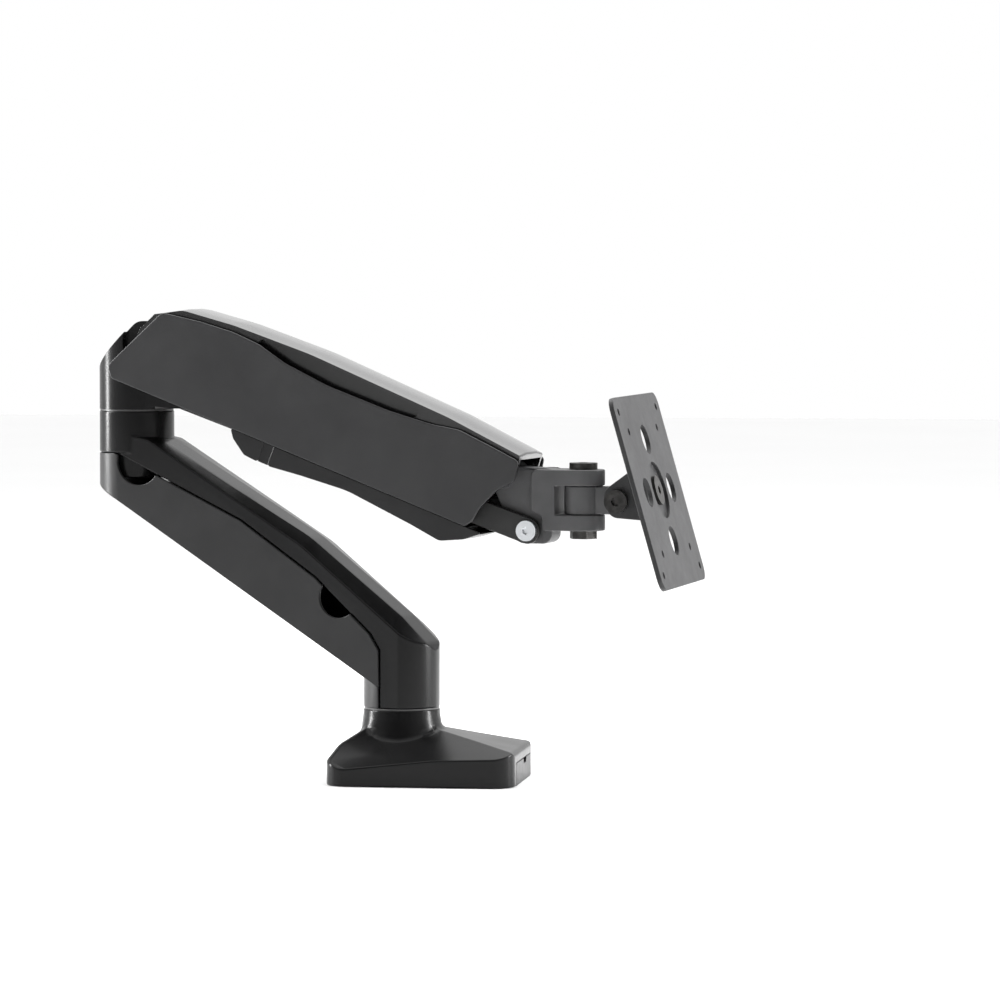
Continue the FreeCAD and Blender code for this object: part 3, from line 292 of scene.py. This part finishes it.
def pad_rubber():
    """Soft black pad with a close pebble pattern."""
    finish = Finish("pad rubber")
    finish.tint(finish.noise(90, 5), (0.018, 0.018, 0.018), (0.030, 0.030, 0.030))
    finish.roughness(finish.noise(160, 4), 0.75, 0.92)
    finish.relief([(finish.cells(900), 0.5, 0.0002)])
    finish.fixed(Specular_IOR_Level=0.25)
    return finish.material


FINISHES = {
    "satin_black_casting": satin_powder_coat(),
    "gloss_black_casting": gloss_crown_paint(),
    "textured_cover": grained_panel_plastic(),
    "satin_cover": satin_cover_plastic(),
    "dark_link_casting": link_coat(),
    "grey_casting": grey_head_coat(),
    "black_steel": black_sheet_coat(),
    "slide_plastic": slide_ring_plastic(),
    "steel": turned_metal("turned steel", (0.36, 0.36, 0.37), (0.48, 0.48, 0.49), 0.26, 0.38),
    "zinc_screws": turned_metal("bright zinc", (0.66, 0.68, 0.70), (0.70, 0.72, 0.74), 0.30, 0.36),
    "chromed_rod": turned_metal("chromed rod", (0.70, 0.70, 0.72), (0.80, 0.80, 0.82), 0.06, 0.12),
    "black_bolts": black_oxide(),
    "spring_tube": spring_tube_paint(),
    "rubber_pad": pad_rubber(),
}


def dress(thing, slot):
    thing.data.materials.clear()
    thing.data.materials.append(FINISHES[slot])


for name, node in nodes.items():
    dress(node, slot_of_node[name])


# ---------------------------------------------------------------- softened edges

JOIN_DISTANCE = 0.000002
FLAT_WITHIN = math.radians(0.5)
SMOOTH_WITHIN = math.radians(50)
LEAST_CREASE = math.radians(9)
LARGE_FACE_WEIGHT = 60


def only(thing):
    """Leaves one object selected and active."""
    if bpy.context.object and bpy.context.object.mode != "OBJECT":
        bpy.ops.object.mode_set(mode="OBJECT")
    bpy.ops.object.select_all(action="DESELECT")
    thing.select_set(True)
    bpy.context.view_layer.objects.active = thing


def mark_face_borders(mesh):
    """Gives bevel weight to the open edges between a casting's loose faces, before they are joined."""
    sides = {edge.key: 0 for edge in mesh.edges}
    for polygon in mesh.polygons:
        for key in polygon.edge_keys:
            sides[key] += 1
    weight = mesh.attributes.new("bevel_weight_edge", "FLOAT", "EDGE")
    for edge in mesh.edges:
        weight.data[edge.index].value = 1.0 if sides[edge.key] == 1 else 0.0


def keep_only_creases(mesh):
    """Drops the bevel weight of borders where the surface runs on smoothly."""
    shape = bmesh.new()
    shape.from_mesh(mesh)
    weight = shape.edges.layers.float["bevel_weight_edge"]
    for edge in shape.edges:
        turn = edge.calc_face_angle(0.0) if len(edge.link_faces) == 2 else 0.0
        edge[weight] = 1.0 if edge[weight] > 0.5 and turn > LEAST_CREASE else 0.0
    shape.to_mesh(mesh)
    shape.free()


def join_faces(piece):
    """Joins the loose faces of a piece into one skin and merges those that lie in one plane."""
    only(piece)
    if piece.data.has_custom_normals:
        bpy.ops.mesh.customdata_custom_splitnormals_clear()
    mark_face_borders(piece.data)
    bpy.ops.object.mode_set(mode="EDIT")
    bpy.ops.mesh.select_all(action="SELECT")
    bpy.ops.mesh.remove_doubles(threshold=JOIN_DISTANCE)
    bpy.ops.mesh.normals_make_consistent(inside=False)
    bpy.ops.mesh.dissolve_limited(angle_limit=FLAT_WITHIN)
    bpy.ops.mesh.select_all(action="DESELECT")
    bpy.ops.object.mode_set(mode="OBJECT")


def soften(name, width, segments=2, held=False):
    """Stands a copy of a casting or moulding, with its hard edges rounded, in for the plain node.

    Held narrows the rounding of the whole piece when a full one would run past a short edge.
    """
    node = nodes[name]
    piece = bpy.data.objects.new(f"{name}_finished", node.data.copy())
    bpy.context.scene.collection.objects.link(piece)
    join_faces(piece)
    keep_only_creases(piece.data)
    bevel = piece.modifiers.new("Rounded edges", "BEVEL")
    bevel.width = width
    bevel.segments = segments
    bevel.limit_method = "WEIGHT"
    bevel.use_clamp_overlap = held
    bpy.ops.object.modifier_apply(modifier=bevel.name)
    bpy.ops.object.shade_smooth_by_angle(angle=SMOOTH_WITHIN)
    weighted = piece.modifiers.new("Even shading", "WEIGHTED_NORMAL")
    weighted.keep_sharp = True
    weighted.weight = LARGE_FACE_WEIGHT
    bpy.ops.object.modifier_apply(modifier=weighted.name)
    dress(piece, slot_of_node[name])
    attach(piece, body_of_node[name])
    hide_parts(name)


for cover in ("side_cover_left", "side_cover_right"):
    soften(cover, 0.0008, segments=3)
soften("arm_core", 0.0006, held=True)
soften("lower_arm_casting", 0.0009)
soften("lower_cable_cover", 0.0006)
soften("elbow_bracket", 0.0008, held=True)
soften("base_casting", 0.0008, segments=3)
soften("head_bracket", 0.0007)
soften("head_yoke", 0.0007)
soften("link_cover", 0.0006)
soften("link_rear_shroud", 0.0005)
soften("link_bar", 0.0006)
soften("vesa_plate", 0.0004)
soften("tilt_bracket", 0.0004)


# ---------------------------------------------------------------- floor and light

FLOOR_SIZE = 12
FLOOR_DROP = 0.0002
AIR_TURNS_BRIGHT = (-0.9, 0.1)
AIR_STRENGTH = (0.05, 1.0)


def floor_paint():
    """Pale matt paint with barely visible clouding."""
    grey = (0.86, 0.86, 0.86)
    finish = Finish("pale floor")
    finish.tint(finish.noise(3, 3), grey, tuple(value * 1.01 for value in grey))
    finish.relief([(finish.noise(300, 2), 0.1, 0.0001)])
    finish.fixed(Roughness=0.7, Specular_IOR_Level=0.2)
    return finish.material


def lay_floor():
    """Wide floor a hair below the lowest point of the arm."""
    bpy.ops.object.select_all(action="DESELECT")
    bpy.ops.mesh.primitive_plane_add(size=FLOOR_SIZE, location=(0, 0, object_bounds()[0].z - FLOOR_DROP))
    floor = bpy.context.object
    floor.name = "floor"
    bpy.ops.object.transform_apply(location=True, rotation=True, scale=True)
    floor.data.materials.append(floor_paint())


def fill_air():
    """White surroundings, bright behind the arm and dim in front of it, shown without a tone curve."""
    world = bpy.data.worlds.new("studio air")
    bpy.context.scene.world = world
    world.use_nodes = True
    bpy.context.scene.view_settings.view_transform = "Standard"
    tree = world.node_tree
    direction = tree.nodes.new("ShaderNodeTexCoord").outputs["Generated"]
    split = tree.nodes.new("ShaderNodeSeparateXYZ")
    tree.links.new(direction, split.inputs["Vector"])
    level = tree.nodes.new("ShaderNodeMapRange")
    level.inputs["From Min"].default_value = AIR_TURNS_BRIGHT[0]
    level.inputs["From Max"].default_value = AIR_TURNS_BRIGHT[1]
    level.inputs["To Min"].default_value = AIR_STRENGTH[0]
    level.inputs["To Max"].default_value = AIR_STRENGTH[1]
    tree.links.new(split.outputs["Y"], level.inputs["Value"])
    tree.links.new(level.outputs["Result"], tree.nodes["Background"].inputs["Strength"])
    tree.nodes["Background"].inputs["Color"].default_value = (1, 1, 1, 1)


def broad_toplight(strength, spread, lean):
    """Wide soft light from above and slightly behind, as from a lit ceiling."""
    data = bpy.data.lights.new("broad toplight", "SUN")
    data.energy = strength
    data.angle = spread
    light = bpy.data.objects.new("broad toplight", data)
    bpy.context.scene.collection.objects.link(light)
    light.rotation_euler = (-lean, 0, 0)


def softbox(name, place, aim, width, height, watts):
    """Rectangular lamp that faces its aim; lengths in metres."""
    data = bpy.data.lights.new(name, "AREA")
    data.shape = "RECTANGLE"
    data.size = width
    data.size_y = height
    data.energy = watts
    light = bpy.data.objects.new(name, data)
    bpy.context.scene.collection.objects.link(light)
    light.location = place
    light.rotation_mode = "QUATERNION"
    light.rotation_quaternion = (Vector(aim) - Vector(place)).to_track_quat("-Z", "Y")


lay_floor()
fill_air()
broad_toplight(1.1, math.radians(100), math.radians(14))
softbox("overhead softbox", (0, 0.6, 1.7), (0, 0.05, 0.2), 1.8, 0.9, 16)
softbox("left softbox", (-1.7, 0.1, 0.7), (-0.1, 0, 0.2), 0.22, 1.3, 48)
softbox("right softbox", (1.7, 0.2, 0.7), (0, 0, 0.2), 0.22, 1.3, 48)

place_camera()
